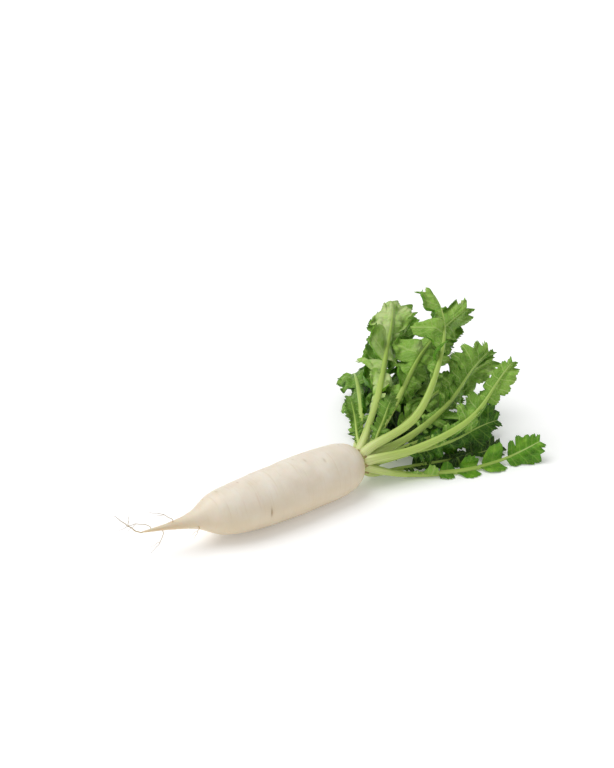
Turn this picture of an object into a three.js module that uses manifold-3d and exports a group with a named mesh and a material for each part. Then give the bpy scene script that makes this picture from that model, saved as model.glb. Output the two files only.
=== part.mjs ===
// A white daikon radish as pulled and washed, lying on its belly with its leaves spread on one side.
// Millimetres, +Z up. +X runs from the tail to the crown, and the origin is the middle of the small flat
// patch of the belly that rests on the table.
import * as THREE from "three";
import { mergeVertices } from "three/addons/utils/BufferGeometryUtils.js";
import Module from "manifold-3d";

const wasm = await Module();
wasm.setup();

const gap = 0.3; // between pieces that grow from each other
const deg = Math.PI / 180;

// Driving dimensions of the root.
const rootRadius = 32.3;
const bellyStation = 164; // from the tail's tip to the middle of the resting patch
const axisHeight = 31.2; // a little under the radius, so that the belly is pressed flat
const tailDrift = 20; // how far the tail swings to +Y
const tailRise = 4;

// Driving dimensions of the crown, the short green stem that the leaves grow from.
const crownRadius = 13;
const crownLength = 15;

// Driving dimensions of the leaves.
const bladeThickness = 0.8;
const tableClearance = 0.15;

const toMaterial = (color, roughness) =>
  new THREE.MeshStandardMaterial({ color, roughness, metalness: 0 });
const rootSkin = toMaterial("#efe8db", 0.42);
const crownSkin = toMaterial("#b9bf78", 0.55);
const stalkSkin = toMaterial("#a5bd62", 0.45);
const bladeSkin = toMaterial("#4f8230", 0.6);
const rootletSkin = toMaterial("#cdbf9f", 0.7);

// ---- Helpers -------------------------------------------------------------------------------------

// Moves every vertex of a closed geometry to where place() puts it, and merges the seams.
function wrap(geometry, place) {
  const vertex = new THREE.Vector3();
  const position = geometry.getAttribute("position");
  for (let i = 0; i < position.count; i++) {
    place(vertex.fromBufferAttribute(position, i));
    position.setXYZ(i, vertex.x, vertex.y, vertex.z);
  }
  geometry.deleteAttribute("normal");
  geometry.deleteAttribute("uv");
  return mergeVertices(geometry, 1e-4);
}

function toSolid(geometry) {
  return new wasm.Manifold(
    new wasm.Mesh({
      numProp: 3,
      vertProperties: geometry.getAttribute("position").array,
      triVerts: new Uint32Array(geometry.index.array),
    }),
  );
}

function toGeometry(solid) {
  const mesh = solid.getMesh();
  return new THREE.BufferGeometry()
    .setAttribute("position", new THREE.BufferAttribute(mesh.vertProperties, 3))
    .setIndex(new THREE.BufferAttribute(mesh.triVerts, 1));
}

const daikon = new THREE.Group();

function addPiece(name, geometry, material) {
  const mesh = new THREE.Mesh(geometry, material);
  mesh.name = name;
  mesh.geometry.computeVertexNormals();
  daikon.add(mesh);
}

// The value at t of the smooth curve through a at 0, b at one half and c at 1.
const through = ([a, b, c], t) => a * (1 - t) * (1 - 2 * t) + b * 4 * t * (1 - t) + c * t * (2 * t - 1);

const smooth = (t) => {
  const x = THREE.MathUtils.clamp(t, 0, 1);
  return x * x * (3 - 2 * x);
};

// ---- Root ----------------------------------------------------------------------------------------

// Distance from the tail's tip, and radius there.
const rootProfile = [
  [0, 0.9],
  [9, 1.7],
  [18, 2.7],
  [32, 4.4],
  [45, 6.6],
  [56, 9.2],
  [66, 13.2],
  [75, 18.6],
  [84, 23.4],
  [96, 26.2],
  [112, 28.4],
  [138, 30.6],
  [163, 31.8],
  [188, rootRadius],
  [212, 32.1],
  [236, 31.4],
  [253, 30.2],
  [265, 28.2],
  [274, 25],
  [280, 21],
  [283.5, 17],
  [285, crownRadius + 0.6],
];

// Where the root's centre line is, a distance from the tail's tip.
function rootAxis(along) {
  const bend = Math.pow(Math.max(0, 1 - along / bellyStation), 1.8);
  return new THREE.Vector3(along - bellyStation, tailDrift * bend, axisHeight + tailRise * bend);
}

function rootRadiusAt(along) {
  const next = rootProfile.findIndex(([station]) => station >= along);
  const [a, b] = [rootProfile[Math.max(0, next - 1)], rootProfile[next]];
  return a === b ? b[1] : THREE.MathUtils.mapLinear(along, a[0], b[0], a[1], b[1]);
}

function makeRoot() {
  const profile = new THREE.SplineCurve(
    rootProfile.map(([along, radius]) => new THREE.Vector2(radius, along)),
  ).getPoints(32);
  const last = profile[profile.length - 1].y;
  const closed = [new THREE.Vector2(0, 0), ...profile, new THREE.Vector2(0, last)];
  return wrap(new THREE.LatheGeometry(closed, 32), (v) => {
    const along = v.y;
    const angle = Math.atan2(v.x, v.z);
    const oval = 0.012 * Math.sin(2 * angle + 1.3 + along / 60);
    const dents = 0.007 * Math.sin(3 * angle + along / 35);
    const uneven = 1 + oval + dents;
    const centre = rootAxis(along);
    v.set(centre.x, centre.y + v.z * uneven, Math.max(0, centre.z + v.x * uneven));
  });
}

// ---- Crown ---------------------------------------------------------------------------------------

const crownFoot = rootAxis(rootProfile[rootProfile.length - 1][0]);

// A short tapered stem with the ridges of old leaf scars. The leaf stalks are trimmed with one grown by
// the gap.
function makeCrown(grown = 0) {
  const foot = grown > 0 ? -grown : gap;
  const profile = [new THREE.Vector2(0, foot)];
  const steps = 9;
  for (let i = 0; i <= steps; i++) {
    const t = i / steps;
    const ridge = i % 2 ? 0 : 0.5;
    const radius = crownRadius * Math.pow(1 - t * t * 0.96, 0.6) - ridge + grown;
    profile.push(new THREE.Vector2(radius, t === 0 ? foot : t * crownLength + grown));
  }
  profile.push(new THREE.Vector2(0, crownLength + grown));
  return wrap(new THREE.LatheGeometry(profile, 24), (v) => {
    v.set(crownFoot.x + v.y, crownFoot.y + v.z, crownFoot.z + v.x);
  });
}

// ---- Leaves --------------------------------------------------------------------------------------

// The three rings of stalks: how far up the crown and how far out from its axis they start, and how far
// they lean away from the axis there.
const rings = [
  { up: 4, out: 9.5, lean: 42 },
  { up: 8, out: 6, lean: 26 },
  { up: 12, out: 2.4, lean: 10 },
];

// Each leaf: its ring and its angle round the crown (0 is +Y, 90 is up), the points that its midrib goes
// through, from the foot of the crown, the last being the tip, and the stalk's width at the base.
// roll turns the blade about its midrib (0 has the upper face up, 90 has it to -Y, 180 has it down),
// bare is the share of the leaf that is only stalk, half is the half width of the end lobe, tip is how many
// degrees the tip bends towards the upper face, and fold lifts the two halves of the blade.
const leaves = [
  {
    ring: 0, angle: 205, stalk: 9.6, roll: 25, bare: 0.36, half: 20, tip: 30, fold: 26,
    path: [[52, -26, -23], [122, -59, -28], [214, -86, -17]],
  },
  {
    ring: 0, angle: 160, stalk: 9.8, roll: 228, bare: 0.5, half: 22, tip: -35, fold: 52,
    path: [[64, -34, 10], [140, -46, 31], [212, -30, 73]],
  },
  {
    ring: 0, angle: 114, stalk: 10.2, roll: 236, bare: 0.62, half: 34, tip: 40, fold: 44,
    path: [[74, -16, 38], [150, 20, 84], [214, 80, 134]],
  },
  {
    ring: 0, angle: 68, stalk: 8.6, roll: 215, bare: 0.4, half: 34, tip: 35, fold: 46,
    path: [[64, 38, 44], [134, 96, 76], [194, 144, 112]],
  },
  {
    ring: 0, angle: 22, stalk: 8.6, roll: 165, bare: 0.36, half: 32, tip: 40, fold: 24,
    path: [[62, 62, 16], [116, 130, 18], [158, 190, 12]],
  },
  {
    ring: 0, angle: 335, stalk: 8, roll: 0, bare: 0.4, half: 34, tip: 30, fold: 14,
    path: [[82, 54, -8], [156, 136, -18], [218, 204, -28]],
  },
  {
    ring: 0, angle: 290, stalk: 8, roll: 0, bare: 0.42, half: 32, tip: 20, fold: 12,
    path: [[66, 14, -20], [146, 32, -29], [216, 40, -29]],
  },
  {
    ring: 0, angle: 248, stalk: 8, roll: 5, bare: 0.44, half: 24, tip: 15, fold: 16,
    path: [[60, -12, -24], [128, -28, -29], [190, -44, -29]],
  },
  {
    ring: 1, angle: 140, stalk: 9, roll: 236, bare: 0.5, half: 32, tip: -50, fold: 50,
    path: [[72, -12, 14], [146, -4, 35], [214, 18, 70]],
  },
  {
    ring: 1, angle: 195, stalk: 6.6, roll: 80, bare: 0.4, half: 24, tip: 45, fold: 22,
    path: [[66, -22, -2], [128, -33, 1], [186, -32, 10]],
  },
  {
    ring: 1, angle: 85, stalk: 7.4, roll: 230, bare: 0.44, half: 36, tip: -65, fold: 44,
    path: [[80, 26, 34], [164, 66, 68], [246, 92, 90]],
  },
  {
    ring: 1, angle: 30, stalk: 7.4, roll: 200, bare: 0.4, half: 34, tip: 25, fold: 30,
    path: [[80, 60, 26], [166, 134, 52], [226, 168, 88]],
  },
  {
    ring: 1, angle: 285, stalk: 7, roll: 15, bare: 0.4, half: 32, tip: 25, fold: 14,
    path: [[84, 34, -12], [164, 78, -13], [236, 104, -10]],
  },
  {
    ring: 2, angle: 100, stalk: 6.4, roll: 236, bare: 0.42, half: 34, tip: -55, fold: 22,
    path: [[84, 16, 12], [168, 38, 26], [250, 42, 38]],
  },
  {
    ring: 2, angle: 230, stalk: 6.4, roll: 50, bare: 0.4, half: 24, tip: 35, fold: 20,
    path: [[76, 0, -6], [148, 2, -8], [216, -4, -2]],
  },
  {
    ring: 2, angle: 345, stalk: 6.4, roll: 205, bare: 0.4, half: 34, tip: 55, fold: 24,
    path: [[86, 48, 10], [172, 104, 24], [246, 124, 36]],
  },
  {
    ring: 0, angle: 45, stalk: 3.6, roll: 170, bare: 0.34, half: 10, tip: 35, fold: 26,
    path: [[20, 22, 18], [30, 38, 34], [36, 54, 54]],
  },
  {
    ring: 1, angle: 112, stalk: 3.6, roll: 225, bare: 0.34, half: 10, tip: -35, fold: 26,
    path: [[30, -1, 24], [46, 4, 42], [64, 12, 62]],
  },
];

const spineSteps = 48;
const tipFrom = 0.7; // the share of a leaf's length where its tip starts to bend

// The midrib as points and frames: ahead along the leaf, side across it, up out of its upper face.
function makeSpine(leaf) {
  const ring = rings[leaf.ring];
  const angle = leaf.angle * deg;
  const outward = new THREE.Vector3(0, Math.cos(angle), Math.sin(angle));
  const base = crownFoot.clone().add(new THREE.Vector3(ring.up, 0, 0)).addScaledVector(outward, ring.out);
  const grown = base
    .clone()
    .add(new THREE.Vector3(14 * Math.cos(ring.lean * deg), 0, 0))
    .addScaledVector(outward, 14 * Math.sin(ring.lean * deg));
  const points = leaf.path.map((point) => crownFoot.clone().add(new THREE.Vector3(...point)));
  const midrib = new THREE.CatmullRomCurve3([base, grown, ...points], false, "centripetal");
  const baseRoll = leaf.angle + 90;
  const turn = ((leaf.roll - baseRoll + 540) % 360) - 180;
  const step = midrib.getLength() / spineSteps;
  const spine = [];
  for (let i = 0; i <= spineSteps; i++) {
    const t = i / spineSteps;
    const ahead = midrib.getTangentAt(t);
    const flatSide = new THREE.Vector3(0, 0, 1).cross(ahead).normalize();
    const flatUp = new THREE.Vector3().crossVectors(ahead, flatSide);
    const roll = (baseRoll + turn * smooth(t * 1.6)) * deg;
    const side = flatSide.clone().multiplyScalar(Math.cos(roll)).addScaledVector(flatUp, Math.sin(roll));
    const bend = leaf.tip * deg * smooth((t - tipFrom) / (1.15 - tipFrom));
    ahead.applyAxisAngle(side, -bend);
    const up = new THREE.Vector3().crossVectors(ahead, side);
    const at = midrib.getPointAt(t);
    if (t > tipFrom) {
      const last = spine[i - 1];
      at.copy(last.at).addScaledVector(last.ahead, step / 2).addScaledVector(ahead, step / 2);
    }
    at.z = Math.max(at.z, stalkHeight(leaf, t) / 2 + tableClearance);
    spine.push({ at, ahead, side, up });
  }
  return spine;
}

// The spine's point and frame at a share t of the leaf's length.
function onSpine(spine, t) {
  const place = THREE.MathUtils.clamp(t, 0, 1) * spineSteps;
  const low = Math.min(Math.floor(place), spineSteps - 1);
  const mix = (key) => spine[low][key].clone().lerp(spine[low + 1][key], place - low);
  return {
    at: mix("at"),
    ahead: mix("ahead").normalize(),
    side: mix("side").normalize(),
    up: mix("up").normalize(),
  };
}

// The stalk is a little wider than it is thick, flares at its base and runs out thin as the midrib.
function stalkWidth(leaf, t) {
  const taper = 0.2 + 0.8 * Math.pow(1 - t * t, 1.1);
  const flare = 1 + 0.15 * Math.pow(1 - t, 12);
  return leaf.stalk * taper * flare;
}

const stalkHeight = (leaf, t) => 0.78 * stalkWidth(leaf, t);

function makeStalk(leaf, spine, grown = 0) {
  return wrap(new THREE.CylinderGeometry(1, 1, 1, 7, 12), (v) => {
    const t = v.y + 0.5;
    const { at, side, up } = onSpine(spine, t);
    const across = v.x * (stalkWidth(leaf, t) / 2 + grown);
    const above = -v.z * (stalkHeight(leaf, t) / 2 + grown);
    v.copy(at).addScaledVector(side, across).addScaledVector(up, above);
  });
}

// How far the blade reaches from the midrib at a share q of its length, on the hand -1 or 1: a narrow wing
// that swells into side lobes, the larger ones nearer the tip, and a broad wavy end lobe.
function bladeReach(leaf, q, hand) {
  const wing = 1.3;
  const endStart = 0.46 + 0.03 * hand;
  if (q > endStart) {
    const x = (q - endStart) / (1 - endStart);
    const wave = 1 + 0.14 * Math.sin(27 * x + 2 * hand + leaf.number);
    return wing + leaf.half * wave * Math.pow(Math.sin(Math.PI * Math.pow(x, 0.75) * 0.985), 0.6);
  }
  const lobes = 3;
  const k = (q / endStart) * lobes;
  const lobe = leaf.half * (0.45 + 0.4 * (Math.floor(k) / lobes));
  return wing + lobe * Math.pow(Math.sin(Math.PI * (k % 1)), 0.9);
}

function makeBlade(leaf, spine, grown = 0) {
  // The middle surface of the blade: q runs along the midrib, s from -1 to 1 across.
  const middle = (s, q) => {
    const t = leaf.bare + (1 - leaf.bare) * q;
    const { at, ahead, side, up } = onSpine(spine, t);
    const hand = Math.sign(s);
    const out = Math.abs(s) * (bladeReach(leaf, q, hand) + grown);
    const core = stalkWidth(leaf, t) / 2 + 1;
    const lift = stalkHeight(leaf, t) / 2 + gap + bladeThickness / 2 + 0.1;
    const wobble = 16 * Math.sin(6.1 * q + 2.3 * leaf.number + 1.7 * hand);
    const bend = (leaf.fold + wobble) * deg * smooth(out / (2.5 * core));
    const ruffle = 0.1 * out * Math.sin(15 * q + leaf.number + 1.3 * hand);
    const spot = at
      .clone()
      .addScaledVector(side, hand * out * Math.cos(bend))
      .addScaledVector(up, lift + out * Math.sin(bend) + ruffle)
      .addScaledVector(ahead, 0.25 * out);
    spot.z = Math.max(spot.z, bladeThickness / 2 + tableClearance);
    return spot;
  };
  const nudge = 0.02;
  return wrap(new THREE.BoxGeometry(2, 1, 1, 4, 26, 1), (v) => {
    const s = v.x;
    const q = v.y + 0.5;
    const along = middle(s, Math.min(q + nudge, 1)).sub(middle(s, Math.max(q - nudge, 0)));
    const across = middle(Math.min(s + nudge, 1), q).sub(middle(Math.max(s - nudge, -1), q));
    const normal = along.cross(across).normalize();
    v.copy(middle(s, q).addScaledVector(normal, -v.z * (bladeThickness + 2 * grown)));
  });
}

// ---- Hair roots ----------------------------------------------------------------------------------

// Each hair root: how far from the tail's tip and at what angle round the root it grows (0 is +Y, 90 is
// up), two points that it goes through from there, and its thickness.
const hairRoots = [
  { along: 0, angle: 0, path: [[-9, 12, 5], [-10, 38, 7]], thick: 1.3 },
  { along: 10, angle: 60, path: [[-12, 10, 6], [-30, 16, 2]], thick: 0.8 },
  { along: 22, angle: 250, path: [[-6, -4, -10], [-20, -6, -18]], thick: 0.8 },
  { along: 34, angle: 100, path: [[-8, 4, 10], [-22, 12, 15]], thick: 0.8 },
  { along: 58, angle: 200, path: [[-6, -9, 1], [-17, -14, -5]], thick: 0.8 },
  { along: 150, angle: 20, path: [[3, 3, 2], [5, 5, 6]], thick: 0.7 },
];

function makeHairRoot(hair) {
  const angle = hair.angle * deg;
  const outward = new THREE.Vector3(hair.along > 0 ? 0 : -1, 0, 0);
  const start = rootAxis(hair.along);
  if (hair.along > 0) {
    outward.set(0, Math.cos(angle), Math.sin(angle));
    start.addScaledVector(outward, rootRadiusAt(hair.along));
  }
  start.addScaledVector(outward, 2 * gap);
  const points = hair.path.map((point) => start.clone().add(new THREE.Vector3(...point)));
  const line = new THREE.CatmullRomCurve3([start, start.clone().addScaledVector(outward, 2), ...points]);
  return wrap(new THREE.CylinderGeometry(1, 1, 1, 5, 10), (v) => {
    const t = v.y + 0.5;
    const ahead = line.getTangentAt(t);
    const side = new THREE.Vector3(0, 0, 1).cross(ahead).normalize();
    const up = new THREE.Vector3().crossVectors(ahead, side);
    const radius = (hair.thick / 2) * (1 - 0.6 * t);
    v.set(v.x * radius, 0, -v.z * radius);
    v.copy(line.getPointAt(t).addScaledVector(side, v.x).addScaledVector(up, v.z));
  });
}

// ---- Assembly ------------------------------------------------------------------------------------

// Solids grown by the gap, which later pieces make way for.
const taken = [toSolid(makeCrown(gap))];

const apart = (a, b) => [0, 1, 2].some((i) => a.max[i] < b.min[i] || b.max[i] < a.min[i]);

// The piece without what is taken already. Where that cuts it through, the larger part stays.
function makeWay(geometry) {
  let solid = toSolid(geometry);
  for (const other of taken) {
    if (!apart(solid.boundingBox(), other.boundingBox())) {
      solid = solid.subtract(other);
    }
  }
  const parts = solid.decompose();
  parts.sort((a, b) => b.volume() - a.volume());
  return toGeometry(parts[0]);
}

addPiece("taproot", makeRoot(), rootSkin);
addPiece("crown", makeCrown(), crownSkin);
leaves.forEach((leaf, i) => {
  leaf.number = i + 1;
  leaf.name = `leaf_${String(leaf.number).padStart(2, "0")}`;
  leaf.spine = makeSpine(leaf);
  addPiece(`${leaf.name}_stalk`, makeWay(makeStalk(leaf, leaf.spine)), stalkSkin);
  taken.push(toSolid(makeStalk(leaf, leaf.spine, gap)));
});
for (const leaf of leaves) {
  addPiece(`${leaf.name}_blade`, makeWay(makeBlade(leaf, leaf.spine)), bladeSkin);
  taken.push(toSolid(makeBlade(leaf, leaf.spine, gap)));
}
hairRoots.forEach((hair, i) => {
  addPiece(`hair_root_${i + 1}`, makeHairRoot(hair), rootletSkin);
});

export default daikon;
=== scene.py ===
# A white daikon radish, pulled and washed, lying on its belly with its leaves spread on one side.
# Metres, in the CAD's frame: +X runs from the tail to the crown, +Z is up, and the origin is the middle
# of the flat patch of the belly.
import math

import bmesh
import bpy
import numpy as np
from mathutils import Matrix, Vector, noise


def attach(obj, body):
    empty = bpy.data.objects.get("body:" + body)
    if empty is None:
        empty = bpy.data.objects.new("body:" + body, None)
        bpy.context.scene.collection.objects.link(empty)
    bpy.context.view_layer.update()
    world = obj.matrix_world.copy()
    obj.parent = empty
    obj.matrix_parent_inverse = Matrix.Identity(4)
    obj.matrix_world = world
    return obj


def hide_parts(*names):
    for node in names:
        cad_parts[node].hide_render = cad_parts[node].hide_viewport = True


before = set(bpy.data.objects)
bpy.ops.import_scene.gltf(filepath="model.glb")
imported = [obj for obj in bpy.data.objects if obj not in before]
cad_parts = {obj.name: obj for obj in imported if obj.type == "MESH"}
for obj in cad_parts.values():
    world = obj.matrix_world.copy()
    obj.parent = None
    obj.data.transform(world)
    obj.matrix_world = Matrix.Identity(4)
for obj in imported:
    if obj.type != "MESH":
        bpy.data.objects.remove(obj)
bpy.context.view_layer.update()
print("frame loaded:", len(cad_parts), "CAD nodes")


# small helpers

# an sRGB hex colour as the linear colour that a shader takes
def linear(hexText):
    shares = [int(hexText[i:i + 2], 16) / 255 for i in (1, 3, 5)]
    return [c / 12.92 if c <= 0.04045 else ((c + 0.055) / 1.055) ** 2.4 for c in shares] + [1.0]


# adds a node and gives back one of its outputs; a value that is a socket is linked, a hex text is a
# colour, and stops fill a colour ramp
def addNode(tree, kind, output, values=None, **settings):
    node = tree.nodes.new("ShaderNode" + kind)
    for field, setting in settings.items():
        if field == "stops":
            elements = node.color_ramp.elements
            elements.remove(elements[1])
            elements[0].position, elements[0].color = setting[0][0], linear(setting[0][1])
            for place, colour in setting[1:]:
                elements.new(place).color = linear(colour)
        else:
            setattr(node, field, setting)
    for socket, value in (values or {}).items():
        if isinstance(value, bpy.types.NodeSocket):
            tree.links.new(value, node.inputs[socket])
        else:
            node.inputs[socket].default_value = linear(value) if isinstance(value, str) else value
    return node.outputs.get(output)


def newMaterial(name):
    material = bpy.data.materials.new(name)
    material.use_nodes = True
    material.node_tree.nodes.clear()
    return material, material.node_tree


# the shader with its values, as what the material shows
def addShader(tree, values):
    shader = addNode(tree, "BsdfPrincipled", "BSDF", values)
    addNode(tree, "OutputMaterial", "", {"Surface": shader})


def deselectAll():
    if bpy.context.object and bpy.context.object.mode != "OBJECT":
        bpy.ops.object.mode_set(mode="OBJECT")
    bpy.ops.object.select_all(action="DESELECT")


# a piece's vertices as an array, and back again
def readPoints(piece):
    points = np.zeros(len(piece.data.vertices) * 3)
    piece.data.vertices.foreach_get("co", points)
    return points.reshape(-1, 3)


def writePoints(piece, points):
    piece.data.vertices.foreach_set("co", points.ravel())
    piece.data.update()


# a number for each vertex that the materials read by name
def writeValue(piece, name, values):
    attribute = piece.data.attributes.new(name, "FLOAT", "POINT")
    attribute.data.foreach_set("value", np.asarray(values, np.float32))


# a UV map from a place for each vertex
def writeLayout(piece, name, layout):
    loops = np.zeros(len(piece.data.loops), int)
    piece.data.loops.foreach_get("vertex_index", loops)
    piece.data.uv_layers.new(name=name).data.foreach_set("uv", layout[loops].ravel())


# bumps from -1 to 1 at each point, about size metres across
def lumps(points, size, offset):
    return np.array([noise.noise(Vector(point) / size + Vector(offset)) for point in points])


# rises from 0 to 1 as x does, level at both ends
def smooth(x):
    x = np.clip(x, 0, 1)
    return x * x * (3 - 2 * x)


def unit(vectors):
    return vectors / np.linalg.norm(vectors, axis=-1, keepdims=True)


# one column for each point, to multiply directions with
def column(values):
    return np.asarray(values)[:, None]


# values along a line of frames at shares t from 0 to 1
def sample(values, t):
    steps = np.linspace(0, 1, len(values))
    return np.stack([np.interp(t, steps, values[:, i]) for i in range(values.shape[1])], 1)


# the smooth line through points, even in length, with its directions
def smoothLine(points, steps):
    points = [np.array(point, float) for point in points]
    ends = [2 * points[0] - points[1]] + points + [2 * points[-1] - points[-2]]
    share = np.linspace(0, 1, 60, endpoint=False)[:, None]
    runs = []
    for p0, p1, p2, p3 in zip(ends, ends[1:], ends[2:], ends[3:]):
        d0, d1, d2 = (math.sqrt(np.linalg.norm(b - a)) for a, b in ((p0, p1), (p1, p2), (p2, p3)))
        start = ((p1 - p0) / d0 - (p2 - p0) / (d0 + d1) + (p2 - p1) / d1) * d1
        stop = ((p2 - p1) / d1 - (p3 - p1) / (d1 + d2) + (p3 - p2) / d2) * d1
        runs.append(p1 + start * share + (3 * (p2 - p1) - 2 * start - stop) * share ** 2
                    + (2 * (p1 - p2) + start + stop) * share ** 3)
    line = np.vstack(runs + [points[-1][None]])
    length = np.concatenate([[0], np.cumsum(np.linalg.norm(np.diff(line, axis=0), axis=1))])
    even = np.linspace(0, length[-1], steps + 1)
    at = np.stack([np.interp(even, length, line[:, i]) for i in range(3)], 1)
    return at, unit(np.gradient(at, axis=0)), length[-1]


def applyModifier(piece, kind, **settings):
    modifier = piece.modifiers.new(kind.title(), kind)
    for field, setting in settings.items():
        setattr(modifier, field, setting)
    bpy.context.view_layer.objects.active = piece
    bpy.ops.object.modifier_apply(modifier=modifier.name)


# a closed solid round a line along X: a disc that is extruded from centre to centre
def addTurned(name, sides, centres, radii):
    deselectAll()
    bpy.ops.mesh.primitive_circle_add(vertices=sides, radius=radii[0], fill_type="TRIFAN",
                                      location=centres[0], rotation=(0, math.pi / 2, 0))
    piece = bpy.context.object
    piece.name = name
    bpy.ops.object.transform_apply(location=True, rotation=True, scale=True)
    bpy.ops.object.mode_set(mode="EDIT")
    bpy.ops.mesh.select_mode(type="FACE")
    bpy.ops.mesh.select_all(action="SELECT")
    for centre, nextCentre, radius, nextRadius in zip(centres, centres[1:], radii, radii[1:]):
        bpy.ops.mesh.extrude_region_move(TRANSFORM_OT_translate={"value": nextCentre - centre})
        grow = nextRadius / radius
        bpy.ops.transform.resize(value=(1, grow, grow), center_override=nextCentre)
    bpy.ops.mesh.select_all(action="SELECT")
    bpy.ops.mesh.remove_doubles(threshold=0.00001)
    bpy.ops.mesh.normals_make_consistent(inside=False)
    bpy.ops.object.mode_set(mode="OBJECT")
    return piece


# a tube of unit radius and length round Z, with rings of vertices along it
def addTube(name, sides, rings):
    deselectAll()
    bpy.ops.mesh.primitive_cylinder_add(vertices=sides, radius=1, depth=1, end_fill_type="TRIFAN")
    tube = bpy.context.object
    tube.name = name
    bpy.ops.object.mode_set(mode="EDIT")
    bpy.ops.mesh.select_mode(type="EDGE")
    bpy.ops.mesh.select_all(action="DESELECT")
    work = bmesh.from_edit_mesh(tube.data)
    for edge in work.edges:  # those that run from end to end
        edge.select = abs(edge.verts[0].co.z - edge.verts[1].co.z) > 0.5
    bmesh.update_edit_mesh(tube.data)
    bpy.ops.mesh.subdivide(number_cuts=rings)
    bpy.ops.object.mode_set(mode="OBJECT")
    return tube


# joins the others into the piece
def joinTo(piece, others):
    deselectAll()
    for other in others:
        other.select_set(True)
    piece.select_set(True)
    bpy.context.view_layer.objects.active = piece
    bpy.ops.object.join()


# a finished piece: its place in its mesh, smooth, with its materials, and hung on the frame
def finishPiece(piece, nodes, materials):
    deselectAll()
    piece.select_set(True)
    bpy.context.view_layer.objects.active = piece
    bpy.ops.object.transform_apply(location=True, rotation=True, scale=True)
    bpy.ops.object.shade_smooth()
    for material in materials:
        piece.data.materials.append(material)
    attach(piece, "root")
    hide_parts(*nodes)


# materials

# Daikon skin: a thin wet cream-white rind over watery flesh, washed. Light sinks in a few millimetres
# and comes out warm, so shaded sides glow cream; the surface has a soft satin gloss.
def makeRootSkin():
    material, tree = newMaterial("daikon rind, washed")
    place = addNode(tree, "TexCoord", "Object")
    # faint rings round the root, 2 to 3 mm apart and broken up along it
    rings = addNode(tree, "Mapping", "Vector", {"Vector": place, "Scale": (420, 26, 26)})
    ringLines = addNode(tree, "TexNoise", "Fac", {
        "Vector": rings, "Scale": 1.0, "Detail": 3.0, "Roughness": 0.6})
    ringTint = addNode(tree, "MapRange", "Result", {
        "Value": ringLines, "From Min": 0.56, "From Max": 0.74, "To Max": 0.3})
    # cloudy patches about 30 mm across
    clouds = addNode(tree, "TexNoise", "Fac", {
        "Vector": place, "Scale": 34.0, "Detail": 4.0, "Roughness": 0.55})
    ground = addNode(tree, "ValToRGB", "Color", {"Fac": clouds}, stops=[
        (0.3, "#e6dac6"), (0.5, "#ede3d2"), (0.72, "#f3ebdd")])
    # tail and shoulder are tanned; the lower front side gets the same colour as painted shade
    tanned = addNode(tree, "Attribute", "Fac", attribute_name="tanned")
    tanAndShadeMix = addNode(tree, "MixRGB", "Color", {
        "Fac": tanned, "Color1": ground, "Color2": "#d9c6a4"}, blend_type="MIX")
    ringMix = addNode(tree, "MixRGB", "Color", {
        "Fac": ringTint, "Color1": tanAndShadeMix, "Color2": "#d2bd9b"}, blend_type="MIX")
    # scars of fine side roots
    scar = addNode(tree, "Attribute", "Fac", attribute_name="scar")
    colour = addNode(tree, "MixRGB", "Color", {
        "Fac": scar, "Color1": ringMix, "Color2": "#a98a62"}, blend_type="MIX")
    # pores under a millimetre, drawn as coarse as 1.2 mm so that they show
    pores = addNode(tree, "TexNoise", "Fac", {"Vector": place, "Scale": 830.0, "Detail": 2.0})
    poreBump = addNode(tree, "Bump", "Normal", {"Height": pores, "Strength": 0.25, "Distance": 0.0002})
    bump = addNode(tree, "Bump", "Normal", {
        "Height": ringLines, "Strength": 0.5, "Distance": 0.0006, "Normal": poreBump}, invert=True)
    rough = addNode(tree, "MapRange", "Result", {"Value": clouds, "To Min": 0.34, "To Max": 0.5})
    addShader(tree, {
        "Base Color": colour, "Roughness": rough, "IOR": 1.4, "Normal": bump,
        "Subsurface Weight": 0.35, "Subsurface Radius": (1.0, 0.6, 0.35), "Subsurface Scale": 0.006})
    return material


# Crown: the short stem under the leaves, firm, fibrous and yellow-green, with corky brown leaf scars.
def makeCrownSkin():
    material, tree = newMaterial("radish crown, fibrous stem")
    place = addNode(tree, "TexCoord", "Object")
    stretched = addNode(tree, "Mapping", "Vector", {"Vector": place, "Scale": (90, 500, 500)})
    fibres = addNode(tree, "TexNoise", "Fac", {"Vector": stretched, "Scale": 1.0, "Detail": 3.0})
    ground = addNode(tree, "ValToRGB", "Color", {"Fac": fibres}, stops=[
        (0.3, "#93a04f"), (0.52, "#bcc47e"), (0.75, "#d6d8a4")])
    # cork where the shape has it, and in small patches
    cork = addNode(tree, "Attribute", "Fac", attribute_name="cork")
    patches = addNode(tree, "TexNoise", "Fac", {"Vector": place, "Scale": 260.0, "Detail": 3.0})
    corkEdge = addNode(tree, "Math", "Value", {0: patches, 1: 1.2, 2: -0.62},
                       operation="MULTIPLY_ADD", use_clamp=True)
    corkShare = addNode(tree, "Math", "Value", {0: cork, 1: corkEdge}, operation="ADD", use_clamp=True)
    colour = addNode(tree, "MixRGB", "Color", {
        "Fac": corkShare, "Color1": ground, "Color2": "#94794a"}, blend_type="MIX")
    bump = addNode(tree, "Bump", "Normal", {"Height": fibres, "Strength": 0.6, "Distance": 0.0006})
    addShader(tree, {
        "Base Color": colour, "Roughness": 0.6, "IOR": 1.4, "Normal": bump,
        "Subsurface Weight": 0.15, "Subsurface Radius": (0.8, 1.0, 0.3), "Subsurface Scale": 0.002})
    return material


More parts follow.
